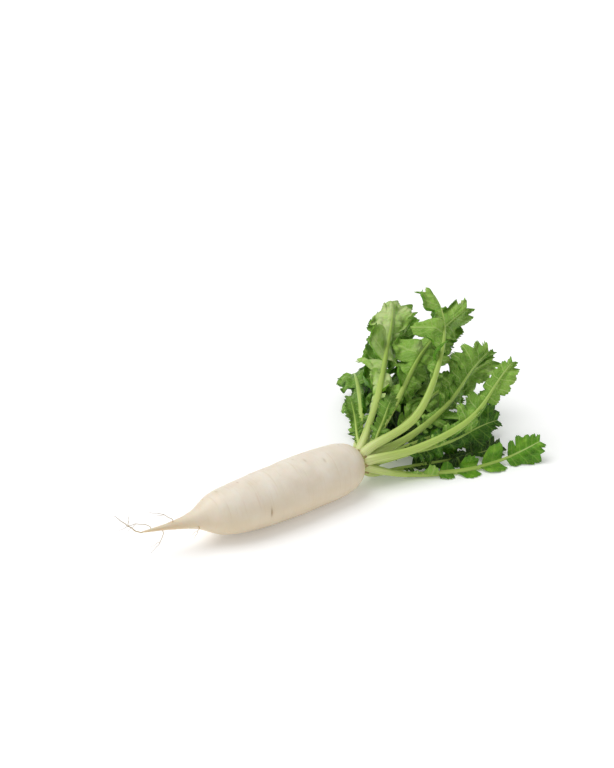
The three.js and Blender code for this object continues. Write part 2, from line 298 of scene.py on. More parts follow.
# Leaf stalk: a juicy green stalk with a waxy, smooth skin over long fibres, almost white where it leaves
# the crown. It shows fine lengthwise streaks and soft highlights.
def makeStalkSkin():
    material, tree = newMaterial("radish stalk, waxy green")
    layout = addNode(tree, "UVMap", "UV", uv_map="strands")
    along = addNode(tree, "Attribute", "Fac", attribute_name="along")
    # strands about 0.8 mm apart round the stalk, many centimetres long
    strands = addNode(tree, "Mapping", "Vector", {"Vector": layout, "Scale": (1200, 18, 1)})
    streaks = addNode(tree, "TexNoise", "Fac", {"Vector": strands, "Scale": 1.0, "Detail": 2.0},
                      noise_dimensions="2D")
    ground = addNode(tree, "ValToRGB", "Color", {"Fac": along}, stops=[
        (0.0, "#dde0a6"), (0.05, "#cdd88b"), (0.16, "#bccf70"), (0.5, "#aec860"),
        (0.8, "#a3c058"), (1.0, "#b3cb78")])
    streakTint = addNode(tree, "MapRange", "Result", {
        "Value": streaks, "From Min": 0.35, "From Max": 0.7, "To Max": 0.4})
    colour = addNode(tree, "MixRGB", "Color", {
        "Fac": streakTint, "Color1": ground, "Color2": "#8dac45"}, blend_type="MIX")
    bump = addNode(tree, "Bump", "Normal", {"Height": streaks, "Strength": 0.35, "Distance": 0.0004})
    addShader(tree, {
        "Base Color": colour, "Roughness": 0.36, "IOR": 1.42, "Normal": bump,
        "Subsurface Weight": 0.25, "Subsurface Radius": (0.6, 1.0, 0.25), "Subsurface Scale": 0.003})
    return material


# Leaf blade: thin, soft and slightly hairy, so its gloss is broad. The upper face is deep green with the
# veins sunk in it; the underside is paler and dull with light raised veins.
def makeBladeSkin(name, greens, veinColour, veinStrength, roughness, veinHeight):
    material, tree = newMaterial(name)
    place = addNode(tree, "TexCoord", "Object")
    layout = addNode(tree, "UVMap", "UV", uv_map="veins")
    wander = addNode(tree, "TexNoise", "Fac", {"Vector": place, "Scale": 160.0, "Detail": 2.0})
    out = addNode(tree, "SeparateXYZ", "X", {"Vector": layout})
    aside = addNode(tree, "Math", "Value", {0: out.node.outputs["Y"]}, operation="ABSOLUTE")
    # the main vein of each lobe, about 1 mm wide at the midrib
    mainVein = addNode(tree, "MapRange", "Result", {
        "Value": aside, "From Min": 0.0002, "From Max": 0.0011, "To Min": 1.0, "To Max": 0.0},
        interpolation_type="SMOOTHSTEP")
    # side veins leave it every 6 mm, leaning outwards
    lean = addNode(tree, "Math", "Value", {0: aside, 1: -1.2, 2: out}, operation="MULTIPLY_ADD")
    bent = addNode(tree, "Math", "Value", {0: wander, 1: 0.003, 2: lean}, operation="MULTIPLY_ADD")
    apart = addNode(tree, "Math", "Value", {0: bent, 1: 0.003}, operation="PINGPONG")
    sideVein = addNode(tree, "MapRange", "Result", {
        "Value": apart, "From Min": 0.0001, "From Max": 0.0007, "To Min": 0.75, "To Max": 0.0},
        interpolation_type="SMOOTHSTEP")
    # the fine net between them, about 3 mm wide cells
    net = addNode(tree, "TexVoronoi", "Distance", {"Vector": layout, "Scale": 330.0},
                  feature="DISTANCE_TO_EDGE", voronoi_dimensions="2D")
    netVein = addNode(tree, "MapRange", "Result", {
        "Value": net, "From Min": 0.0, "From Max": 0.12, "To Min": 0.45, "To Max": 0.0})
    larger = addNode(tree, "Math", "Value", {0: mainVein, 1: sideVein}, operation="MAXIMUM")
    vein = addNode(tree, "Math", "Value", {0: larger, 1: netVein}, operation="MAXIMUM")
    veinShare = addNode(tree, "Math", "Value", {0: vein, 1: veinStrength}, operation="MULTIPLY")
    # blotches about 12 mm across on top of each leaf's tone, whose dark end on the low leaves is painted
    # shade
    tone = addNode(tree, "Attribute", "Fac", attribute_name="tone")
    blotches = addNode(tree, "TexNoise", "Fac", {"Vector": place, "Scale": 80.0, "Detail": 3.0})
    shade = addNode(tree, "Math", "Value", {0: blotches, 1: 0.9, 2: -0.45}, operation="MULTIPLY_ADD")
    toned = addNode(tree, "Math", "Value", {0: tone, 1: shade}, operation="ADD", use_clamp=True)
    green = addNode(tree, "ValToRGB", "Color", {"Fac": toned}, stops=greens)
    colour = addNode(tree, "MixRGB", "Color", {
        "Fac": veinShare, "Color1": green, "Color2": veinColour}, blend_type="MIX")
    puckers = addNode(tree, "TexNoise", "Fac", {"Vector": place, "Scale": 330.0, "Detail": 2.0})
    puckerBump = addNode(tree, "Bump", "Normal", {
        "Height": puckers, "Strength": 0.35, "Distance": 0.0006})
    bump = addNode(tree, "Bump", "Normal", {
        "Height": vein, "Strength": 0.7, "Distance": abs(veinHeight), "Normal": puckerBump},
        invert=veinHeight < 0)
    addShader(tree, {
        "Base Color": colour, "Roughness": roughness, "IOR": 1.42, "Normal": bump,
        "Subsurface Weight": 0.15, "Subsurface Radius": (0.35, 1.0, 0.08), "Subsurface Scale": 0.001,
        "Specular IOR Level": 0.35})
    return material


# Hair root: dry, matt and straw-coloured, darker towards its end.
def makeHairSkin():
    material, tree = newMaterial("radish hair root, dry")
    along = addNode(tree, "Attribute", "Fac", attribute_name="along")
    place = addNode(tree, "TexCoord", "Object")
    mottle = addNode(tree, "TexNoise", "Fac", {"Vector": place, "Scale": 500.0, "Detail": 2.0})
    dryness = addNode(tree, "Math", "Value", {0: mottle, 1: 0.3, 2: along},
                      operation="MULTIPLY_ADD", use_clamp=True)
    colour = addNode(tree, "ValToRGB", "Color", {"Fac": dryness}, stops=[
        (0.1, "#d6c094"), (0.4, "#b39a68"), (1.0, "#8a7148")])
    bump = addNode(tree, "Bump", "Normal", {"Height": mottle, "Strength": 0.5, "Distance": 0.0002})
    addShader(tree, {"Base Color": colour, "Roughness": 0.7, "IOR": 1.45, "Normal": bump})
    return material


rootSkin = makeRootSkin()
crownSkin = makeCrownSkin()
stalkSkin = makeStalkSkin()
upperSkin = makeBladeSkin(
    "radish leaf, upper face", [(0.0, "#173303"), (0.3, "#34650c"), (0.6, "#599218"), (1.0, "#96c63a")],
    "#9abc50", veinStrength=0.35, roughness=0.46, veinHeight=-0.0004)
underSkin = makeBladeSkin(
    "radish leaf, underside", [(0.0, "#375c12"), (0.35, "#629026"), (0.7, "#8ab446"), (1.0, "#bdd08a")],
    "#c2d684", veinStrength=0.4, roughness=0.6, veinHeight=0.0005)
hairSkin = makeHairSkin()
print("materials made")


# root

# stations: distance from the tail's tip and radius there; oval and threeSided: shares of the radius;
# swells: height and size of each; wrinkles: their depth all along, and more of it on the tail and on the
# shoulder; scars: distance, angle round the root (0 is +Y, 90 is up), length, width, depth and tint
root = {
    "stations": [
        (0.0, 0.0009), (0.009, 0.0017), (0.018, 0.0027), (0.032, 0.0044), (0.045, 0.0066), (0.056, 0.0092),
        (0.066, 0.0132), (0.075, 0.0186), (0.084, 0.0234), (0.096, 0.0262), (0.112, 0.0284),
        (0.138, 0.0306), (0.163, 0.0318), (0.188, 0.0323), (0.212, 0.0321), (0.236, 0.0314),
        (0.253, 0.0302), (0.265, 0.0282), (0.274, 0.0250), (0.280, 0.0210), (0.2835, 0.0170),
        (0.285, 0.0136)],
    "bellyStation": 0.164, "axisHeight": 0.0312, "tailDrift": 0.020, "tailRise": 0.004,
    "sides": 28, "rings": 40, "fullness": 1.0085, "oval": 0.012, "threeSided": 0.007,
    "swells": ((0.0007, 0.035), (0.00025, 0.011)), "wrinkleSize": 0.0036,
    "wrinkles": {"all": 0.00008, "tail": 0.00016, "shoulder": 0.00010},
    "scars": [(0.1365, 181, 0.010, 0.0016, 0.0007, 1.0), (0.203, 100, 0.006, 0.002, 0.0005, 0.35),
              (0.224, 117, 0.006, 0.002, 0.0005, 0.35)],
    "scarRows": (78, 262), "scarsPerRow": 11, "firstScar": 0.05, "scarSpacing": 0.021,
}


def rootAxis(along):
    bend = np.maximum(0, 1 - along / root["bellyStation"]) ** 1.8
    return np.stack([along - root["bellyStation"], root["tailDrift"] * bend,
                     root["axisHeight"] + root["tailRise"] * bend], -1)


def rootRadius(along):
    return np.interp(along, *zip(*root["stations"]))


# the scars of side roots stand in rows, each a little off its place
def layScars():
    draws = np.random.default_rng(11)
    scars = list(root["scars"])
    for row in root["scarRows"]:
        for i in range(root["scarsPerRow"]):
            along = root["firstScar"] + root["scarSpacing"] * i
            scars.append((along + draws.uniform(-0.006, 0.006), row + draws.uniform(-16, 16),
                          draws.uniform(0.002, 0.0055), draws.uniform(0.0006, 0.001),
                          0.0003, draws.uniform(0.25, 0.7)))
    return scars


def makeRoot():
    # the profile through the stations, with rings closer together where it turns
    profile, _, _ = smoothLine([(along, radius, 0) for along, radius in root["stations"]], root["rings"])
    piece = addTurned("root_body", root["sides"], rootAxis(profile[:, 0]), profile[:, 1])
    applyModifier(piece, "SUBSURF", levels=3, render_levels=3)

    # shape it: oval and swollen as grown, ring wrinkles, scars, and the belly pressed flat
    points = readPoints(piece)
    along = np.clip(points[:, 0] + root["bellyStation"], 0, root["stations"][-1][0])
    centre = rootAxis(along)
    across = points - centre
    across[:, 0] = 0
    angle = np.arctan2(across[:, 2], across[:, 1])
    size = np.linalg.norm(across, axis=1)
    outward = across / column(np.maximum(size, 1e-6))
    skin = smooth(size / 0.004)  # 0 on the axis, where the surface is an end
    uneven = root["fullness"] * (1 + root["oval"] * np.sin(2 * angle + 1.3 + along / 0.06)
                                 + root["threeSided"] * np.sin(3 * angle + along / 0.035))
    flat = np.stack([along, size * np.cos(angle), size * np.sin(angle)], 1)
    (large, largeSize), (small, smallSize) = root["swells"]
    swell = large * lumps(flat, largeSize, (3, 1, 7)) + small * lumps(flat, smallSize, (9, 4, 2))
    # wrinkles are 11 times as long round the root as they are wide
    wrinkle = lumps(flat * (1, 0.09, 0.09) + (0, 0.3, 0), root["wrinkleSize"], (5, 5, 1))
    depths = root["wrinkles"]
    depth = (depths["all"] + depths["tail"] * (1 - smooth((along - 0.05) / 0.07))
             + depths["shoulder"] * smooth((along - 0.225) / 0.04))
    grown = (swell - depth * np.maximum(0, wrinkle) * 2) * skin
    scarred = np.zeros(len(points))
    for place, turn, length, width, deep, tint in layScars():
        sideways = np.radians(np.mod(np.degrees(angle) - turn + 180, 360) - 180) * size
        off = (sideways / (length / 2)) ** 2 + ((along - place) / (width / 2 + 0.0003)) ** 2
        scarred = np.maximum(scarred, tint * np.exp(-off))
        grown = grown - deep * np.exp(-off * 0.8) * skin
    points = centre + outward * column(size * uneven + grown)
    points[:, 0] = along - root["bellyStation"]
    points[:, 2] = np.maximum(0, points[:, 2])
    writePoints(piece, points)
    writeValue(piece, "scar", scarred)

    # how tan and shaded: tan on the tail and the rim of the shoulder, and painted shade on the lower front
    # side away from the light, all in blotches
    tail = 1 - smooth(along / 0.1)
    rim = smooth((along - 0.262) / 0.022)
    # painted shade: the lower front side of the root darker, where light does not fall
    paintedShadeBelow = smooth(0.35 - 0.8 * np.sin(angle + 0.5))
    blotch = 0.5 + 0.5 * lumps(flat, 0.02, (2, 8, 5))
    tanned = (0.7 * tail * (0.5 + blotch) + 0.45 * rim * (0.6 + blotch)
              + 0.6 * paintedShadeBelow * (0.7 + 0.6 * blotch))
    writeValue(piece, "tanned", np.clip(tanned, 0, 1))
    finishPiece(piece, ["taproot"], [rootSkin])


makeRoot()
print("root made")


# crown

# profile: distance up the crown from its foot and radius there; stubs: angle round it, distance up, width
# and length of the dry ends of lost leaves
crown = {
    "foot": (0.121, 0.0, 0.0312), "start": -0.0004, "sides": 64,
    "profile": [
        (0.0, 0.0136), (0.0012, 0.0134), (0.0018, 0.0127), (0.0030, 0.0129), (0.0036, 0.0121),
        (0.0050, 0.0122), (0.0056, 0.0113), (0.0070, 0.0113), (0.0076, 0.0103), (0.0092, 0.0101),
        (0.0098, 0.0088), (0.0115, 0.0082), (0.0120, 0.0068), (0.0135, 0.0055), (0.0146, 0.0030)],
    "bumpSize": 0.004, "bumpHeight": 0.05, "corkTop": 0.003,
    "stubs": [(224, 0.0008, 0.0085, 0.008), (180, 0.0006, 0.008, 0.0045), (137, 0.0006, 0.008, 0.0045),
              (45, 0.0008, 0.009, 0.007), (312, 0.0008, 0.009, 0.008), (91, 0.0006, 0.008, 0.004)],
    "stubOut": 0.0116, "stubThickness": 0.0017,
}


def makeStub(turn, up, width, length, number):
    stub = addTube("stub", 14, 10)
    points = readPoints(stub)
    t = points[:, 2] + 0.5
    angle = math.radians(turn)
    outward = np.array([0, math.cos(angle), math.sin(angle)])
    aside = np.array([0, -math.sin(angle), math.cos(angle)])
    ahead = np.array([1.0, 0, 0])
    base = np.array(crown["foot"]) + outward * crown["stubOut"] + ahead * up
    lean = outward * 0.62 + ahead * 0.78
    across = ahead * 0.62 - outward * 0.78
    # it narrows and thins towards its torn end
    half = width / 2 * (1 - 0.5 * t ** 1.5)
    thick = crown["stubThickness"] * (1 - 0.5 * t)
    torn = 1 + 0.3 * np.sin(5 * np.arctan2(points[:, 1], points[:, 0]) + number) * t
    writePoints(stub, base + lean * column(t * length * torn) + aside * column(points[:, 0] * half)
                + across * column(points[:, 1] * thick))
    writeValue(stub, "cork", 0.1 + 0.7 * smooth(t * 1.2))
    return stub


def makeCrown():
    foot = np.array(crown["foot"])
    ups, radii = zip(*crown["profile"])
    centres = [foot + (up, 0, 0) for up in (crown["start"], *ups)]
    piece = addTurned("crown_stem", crown["sides"], centres, (radii[0], *radii))
    applyModifier(piece, "SUBSURF", levels=1, render_levels=1)
    points = readPoints(piece)
    across = points - foot
    up = across[:, 0].copy()
    across[:, 0] = 0
    bumps = lumps(points, crown["bumpSize"], (1, 1, 1))
    writePoints(piece, points + across * column(crown["bumpHeight"] * bumps))
    corky = np.clip(0.8 - up / crown["corkTop"], 0, 0.7) + 0.3 * np.maximum(0, bumps)
    writeValue(piece, "cork", corky)
    joinTo(piece, [makeStub(*stub, i) for i, stub in enumerate(crown["stubs"])])
    finishPiece(piece, ["crown"], [crownSkin])


makeCrown()
print("crown made")


# leaves

# how far up the crown and how far out from its axis each ring of stalks starts, and how far it leans there
rings = [
    {"up": 0.004, "out": 0.0095, "lean": 42},
    {"up": 0.008, "out": 0.006, "lean": 26},
    {"up": 0.012, "out": 0.0024, "lean": 10},
]

# Each leaf: its ring and angle round the crown, roll (0 has the upper face up, 90 has it to -Y), the
# stalk's width, bare (the share that is only stalk), half (the end lobe's half width), endStart (where
# the end lobe starts on the blade), fold (degrees that lift the two halves), tip (degrees that its tip
# bends towards the upper face), tone (0 dark to 1 light green, set darker on the leaves that lie low in
# the pile as painted shade) and the points on its midrib from the crown's foot.
leaves = [
    {"ring": 0, "angle": 205, "roll": 25, "stalk": 0.0096, "bare": 0.36, "half": 0.020, "endStart": 0.70,
     "fold": 26, "tip": 30, "tone": 0.60,
     "path": [(0.052, -0.026, -0.023), (0.122, -0.059, -0.028), (0.214, -0.086, -0.017)]},
    {"ring": 0, "angle": 160, "roll": 228, "stalk": 0.0098, "bare": 0.50, "half": 0.022, "endStart": 0.47,
     "fold": 52, "tip": -35, "tone": 0.50,
     "path": [(0.064, -0.034, 0.010), (0.140, -0.046, 0.031), (0.212, -0.030, 0.073)]},
    {"ring": 0, "angle": 114, "roll": 236, "stalk": 0.0102, "bare": 0.62, "half": 0.034, "endStart": 0.47,
     "fold": 44, "tip": 40, "tone": 0.55,
     "path": [(0.074, -0.016, 0.038), (0.150, 0.020, 0.084), (0.214, 0.080, 0.134)]},
    {"ring": 0, "angle": 68, "roll": 215, "stalk": 0.0086, "bare": 0.40, "half": 0.034, "endStart": 0.47,
     "fold": 46, "tip": 35, "tone": 0.90,
     "path": [(0.064, 0.038, 0.044), (0.134, 0.096, 0.076), (0.194, 0.144, 0.112)]},
    {"ring": 0, "angle": 22, "roll": 165, "stalk": 0.0086, "bare": 0.36, "half": 0.032, "endStart": 0.47,
     "fold": 24, "tip": 40, "tone": 0.30,
     "path": [(0.062, 0.062, 0.016), (0.116, 0.130, 0.018), (0.158, 0.190, 0.012)]},
    {"ring": 0, "angle": 335, "roll": 0, "stalk": 0.0080, "bare": 0.40, "half": 0.034, "endStart": 0.47,
     "fold": 14, "tip": 30, "tone": 0.20,
     "path": [(0.082, 0.054, -0.008), (0.156, 0.136, -0.018), (0.218, 0.204, -0.028)]},
    {"ring": 0, "angle": 290, "roll": 0, "stalk": 0.0080, "bare": 0.42, "half": 0.032, "endStart": 0.47,
     "fold": 12, "tip": 20, "tone": 0.15,
     "path": [(0.066, 0.014, -0.020), (0.146, 0.032, -0.029), (0.216, 0.040, -0.029)]},
    {"ring": 0, "angle": 248, "roll": 5, "stalk": 0.0080, "bare": 0.44, "half": 0.024, "endStart": 0.47,
     "fold": 16, "tip": 15, "tone": 0.10,
     "path": [(0.060, -0.012, -0.024), (0.128, -0.028, -0.029), (0.190, -0.044, -0.029)]},
    {"ring": 1, "angle": 140, "roll": 236, "stalk": 0.0090, "bare": 0.50, "half": 0.032, "endStart": 0.47,
     "fold": 50, "tip": -50, "tone": 0.45,
     "path": [(0.072, -0.012, 0.014), (0.146, -0.004, 0.035), (0.214, 0.018, 0.070)]},
    {"ring": 1, "angle": 195, "roll": 80, "stalk": 0.0066, "bare": 0.40, "half": 0.024, "endStart": 0.47,
     "fold": 22, "tip": 45, "tone": 0.30,
     "path": [(0.066, -0.022, -0.002), (0.128, -0.033, 0.001), (0.186, -0.032, 0.010)]},
    {"ring": 1, "angle": 85, "roll": 230, "stalk": 0.0074, "bare": 0.44, "half": 0.036, "endStart": 0.47,
     "fold": 44, "tip": -65, "tone": 0.60,
     "path": [(0.080, 0.026, 0.034), (0.164, 0.066, 0.068), (0.246, 0.092, 0.090)]},
    {"ring": 1, "angle": 30, "roll": 200, "stalk": 0.0074, "bare": 0.40, "half": 0.034, "endStart": 0.47,
     "fold": 30, "tip": 25, "tone": 0.50,
     "path": [(0.080, 0.060, 0.026), (0.166, 0.134, 0.052), (0.226, 0.168, 0.088)]},
    {"ring": 1, "angle": 285, "roll": 15, "stalk": 0.0070, "bare": 0.40, "half": 0.032, "endStart": 0.47,
     "fold": 14, "tip": 25, "tone": 0.12,
     "path": [(0.084, 0.034, -0.012), (0.164, 0.078, -0.013), (0.236, 0.104, -0.010)]},
    {"ring": 2, "angle": 100, "roll": 236, "stalk": 0.0064, "bare": 0.42, "half": 0.034, "endStart": 0.47,
     "fold": 22, "tip": -55, "tone": 0.65,
     "path": [(0.084, 0.016, 0.012), (0.168, 0.038, 0.026), (0.250, 0.042, 0.038)]},
    {"ring": 2, "angle": 230, "roll": 50, "stalk": 0.0064, "bare": 0.40, "half": 0.024, "endStart": 0.47,
     "fold": 20, "tip": 35, "tone": 0.20,
     "path": [(0.076, 0.000, -0.006), (0.148, 0.002, -0.008), (0.216, -0.004, -0.002)]},
    {"ring": 2, "angle": 345, "roll": 205, "stalk": 0.0064, "bare": 0.40, "half": 0.034, "endStart": 0.47,
     "fold": 24, "tip": 55, "tone": 0.30,
     "path": [(0.086, 0.048, 0.010), (0.172, 0.104, 0.024), (0.246, 0.124, 0.036)]},
    {"ring": 0, "angle": 45, "roll": 170, "stalk": 0.0036, "bare": 0.34, "half": 0.010, "endStart": 0.20,
     "fold": 26, "tip": 35, "tone": 0.35,
     "path": [(0.020, 0.022, 0.018), (0.030, 0.038, 0.034), (0.036, 0.054, 0.054)]},
    {"ring": 1, "angle": 112, "roll": 225, "stalk": 0.0036, "bare": 0.34, "half": 0.010, "endStart": 0.20,
     "fold": 26, "tip": -35, "tone": 0.35,
     "path": [(0.030, -0.001, 0.024), (0.046, 0.004, 0.042), (0.064, 0.012, 0.062)]},
]

# What all stalks share. Widths are shares of the stalk's width, and flare is how much wider its base is.
stalk = {
    "sides": 28, "rings": 60, "midribSteps": 96, "straight": 0.014,
    "heightShare": 0.78, "thinnest": 0.08, "flare": 0.3, "groove": 0.13, "ribs": 9, "ribHeight": 0.03,
    "knotHeight": 0.035, "knotSize": 0.022,
}

# What all blades share. Lobes are shares of the blade: where the side lobes stop and how far they reach,
# where the end lobe's parts stop, how deep the gap between them goes and how far forward they sweep.
# Lift, twist and wobble are degrees; waves are pairs of a share of the reach and a size.
blade = {
    "columns": 36, "rows": 170, "thickness": 0.00045, "wing": 0.0009, "collar": 0.13,
    "sideStops": (0.0, 0.09, 0.20, 0.34, 0.52, 0.74, 1.0),
    "sideReach": (0.20, 0.32, 0.46, 0.62, 0.80, 0.95), "stagger": 0.014,
    "endStops": (0.26, 0.48, 0.67, 0.84, 1.0), "endGaps": (0.35, 0.74, 0.76, 0.8, 0.86),
    "endSweep": (0.2, 0.3, 0.42, 0.55, 0.7),
    "lift": 44, "twist": 40, "curl": 0.8, "wobble": 20, "toothSpacing": 0.0066, "toothDepth": 0.0016,
    "ruffle": 0.52, "waves": ((1.5, 0.024), (0.6, 0.011)), "edgeWave": 0.12,
    "pucker": 0.0013, "puckerSize": 0.007, "crease": 0.0060, "creaseSize": 0.015,
    "toneSpread": 0.25, "toneSize": 0.04, "clearance": 0.0004, "tipFrom": 0.7,
}


def stalkWidth(leaf, t):
    taper = stalk["thinnest"] + (1 - stalk["thinnest"]) * (1 - t * t) ** 1.1
    return leaf["stalk"] * taper * (1 + stalk["flare"] * (1 - t) ** 14)


# the midrib's points and frames: side across the leaf, up out of its upper face
def makeMidrib(leaf):
    ring = rings[leaf["ring"]]
    steps = stalk["midribSteps"]
    foot = np.array(crown["foot"])
    angle, lean = math.radians(leaf["angle"]), math.radians(ring["lean"])
    outward = np.array([0, math.cos(angle), math.sin(angle)])
    base = foot + (ring["up"], 0, 0) + outward * ring["out"]
    grown = (base + (stalk["straight"] * math.cos(lean), 0, 0)
             + outward * stalk["straight"] * math.sin(lean))
    at, ahead, length = smoothLine([base, grown] + [foot + point for point in leaf["path"]], steps)
    t = np.linspace(0, 1, len(at))
    lowest = stalkWidth(leaf, t) * stalk["heightShare"] / 2 + blade["clearance"]
    at[:, 2] = np.maximum(at[:, 2], lowest)
    # the upper face looks at the crown's axis at first, and rolls to where the leaf has it
    turn = (leaf["roll"] - leaf["angle"] - 90 + 540) % 360 - 180
    roll = column(np.radians(leaf["angle"] + 90 + turn * smooth(t * 1.6)))
    flatSide = unit(np.cross((0, 0, 1), ahead))
    flatUp = np.cross(ahead, flatSide)
    side = flatSide * np.cos(roll) + flatUp * np.sin(roll)
    up = np.cross(ahead, side)
    # the tip bends over towards the upper face, or away from it
    tipFrom = blade["tipFrom"]
    turned = column(np.radians(leaf["tip"]) * smooth((t - tipFrom) / (1.15 - tipFrom)))
    ahead, up = (ahead * np.cos(turned) + up * np.sin(turned),
                 up * np.cos(turned) - ahead * np.sin(turned))
    for i in range(int(tipFrom * steps), len(at)):
        at[i] = at[i - 1] + (ahead[i - 1] + ahead[i]) / 2 * length / steps
    at[:, 2] = np.maximum(at[:, 2], lowest)
    return {"at": at, "ahead": ahead, "side": side, "up": up, "length": length}


def makeStalk(leaf, number, nodes):
    piece = addTube(f"leaf_{number:02d}_petiole", stalk["sides"], stalk["rings"])
    points = readPoints(piece)
    t = points[:, 2] + 0.5
    angle = np.arctan2(points[:, 1], points[:, 0])
    size = np.hypot(points[:, 0], points[:, 1])
    midrib = leaf["midrib"]
    at, side, up = (sample(midrib[key], t) for key in ("at", "side", "up"))
    # ribs on the lower half, a groove along the top, and soft knots along it
    ribs = 1 + stalk["ribHeight"] * np.cos(stalk["ribs"] * angle) * smooth(0.5 - np.sin(angle))
    furrow = np.exp(-(((np.degrees(angle) - 90) / 26) ** 2)) * smooth(t / 0.15)
    groove = 1 - stalk["groove"] * furrow
    strip = np.stack([t * midrib["length"], 0 * t + number, 0 * t], 1)
    knots = 1 + stalk["knotHeight"] * lumps(strip, stalk["knotSize"], (number, 0, 0))
    width = stalkWidth(leaf, t) / 2
    across = np.cos(angle) * width * size * ribs * knots
    above = np.sin(angle) * width * stalk["heightShare"] * size * ribs * groove * knots
    place = at + side * column(across) + up * column(above)
    place[:, 2] = np.maximum(place[:, 2], blade["clearance"])
    writePoints(piece, place)
    writeValue(piece, "along", t)
    # the strands run round both sides alike, so that no seam shows
    halfway = np.abs(np.degrees(angle)) / 180 * math.pi * leaf["stalk"] / 2
    writeLayout(piece, "strands", np.stack([halfway + 0.05 * number, t * midrib["length"]], 1))
    finishPiece(piece, nodes, [stalkSkin])


# The lobes on one hand of a blade, from its foot to its tip: where each starts and stops along the blade,
# how far it reaches, how deep the gap beside it is, and its lift, twist, curl, sweep and bulge.
def layLobes(leaf, hand, endStart, draws):
    half, lobes = leaf["half"], []
    stops = [endStart * stop + (blade["stagger"] * hand if 0 < stop else 0) for stop in blade["sideStops"]]
    for start, stop, share in zip(stops, stops[1:], blade["sideReach"]):
        # small lobes stand apart, and so do all on a leaf whose end lobe is short
        room = (stop - start) * (0.93 if share > 0.4 and leaf["endStart"] < 0.6 else 0.68)
        lobes.append({
            "start": start, "stop": start + room,
            "reach": half * share * draws.uniform(0.8, 1.15), "gap": 0.02,
            "lift": draws.uniform(-1, 1) * blade["lift"], "twist": draws.uniform(-1, 1) * blade["twist"],
            "curl": draws.uniform(-0.4, 1) * blade["curl"], "sweep": draws.uniform(0.15, 0.5),
            "bulge": 0.5})
    ends = [stops[-1]] + [stops[-1] + (1 - stops[-1]) * stop for stop in blade["endStops"]]
    shared = draws.uniform(-0.5, 0.5) * blade["lift"]
    for i, (start, stop) in enumerate(zip(ends, ends[1:])):
        middle = ((start + stop) / 2 - stops[-1]) / (1 - stops[-1])
        size = half * math.sin(math.pi * middle ** 0.72 * 0.985) ** 0.6 * draws.uniform(0.9, 1.1)
        lobes.append({
            "start": start, "stop": stop, "reach": size, "gap": blade["endGaps"][i],
            "lift": shared, "twist": 0, "curl": 0.3, "sweep": blade["endSweep"][i], "bulge": 0.25})
    return lobes


# For each point of a blade, s across from -1 to 1 and q along from 0 to 1: how far out it is, how far it
# moves ahead, its lobe's lift, twist, curl and sweep, and how far it is from its lobe's main vein.
def shapeLobes(leaf, s, q, foot, length, endStart, draws):
    out, along, lift, twist, curl, sweep, veinAside = (np.zeros(len(s)) for _ in range(7))
    for hand in (-1, 1):
        for lobe in layLobes(leaf, hand, endStart, draws):
            mine = (np.sign(s) == hand) & (q >= lobe["start"] - 1e-6) & (q <= lobe["stop"] + 1e-6)
            share = np.abs(s[mine])
            wide = (lobe["stop"] - lobe["start"]) / 2
            k = (q[mine] - lobe["start"]) / wide - 1  # -1 to 1 from the lobe's start to its stop
            dome = np.maximum(0, 1 - np.abs(k) ** 2.4) ** 0.55
            reach = lobe["reach"] * (lobe["gap"] + (1 - lobe["gap"]) * dome)
            if lobe["stop"] > 0.99:  # the tip is rounded off
                reach *= np.where(k > 0, np.maximum(0, 1 - k ** 3) ** 0.6, 1)
            # teeth that rise slowly and fall fast
            spacing = blade["toothSpacing"] * draws.uniform(0.8, 1.3)
            saw = np.mod((q[mine] * length + reach * 0.5 * k) / spacing + draws.uniform(0, 1), 1)
            tooth = np.where(saw < 0.7, saw / 0.7, (1 - saw) / 0.3) ** 0.8
            depth = min(blade["toothDepth"] * draws.uniform(0.7, 1.3), 0.16 * lobe["reach"])
            edge = reach + depth * (2 * tooth - 1) * dome ** 0.5
            inner = stalkWidth(leaf, foot + (1 - foot) * q[mine]) / 2 * np.minimum(1, 3 * dome) * 0.8
            out[mine] = share * (blade["wing"] + inner + np.maximum(0, edge))
            veinAside[mine] = k * wide * length
            along[mine] = lobe["bulge"] * k * wide * length * share * (1 - 0.6 * np.abs(k))
            lift[mine], twist[mine], sweep[mine] = lobe["lift"], lobe["twist"], lobe["sweep"]
            curl[mine] = lobe["curl"] * share ** 2
    return out, along, lift, twist, curl, sweep, veinAside


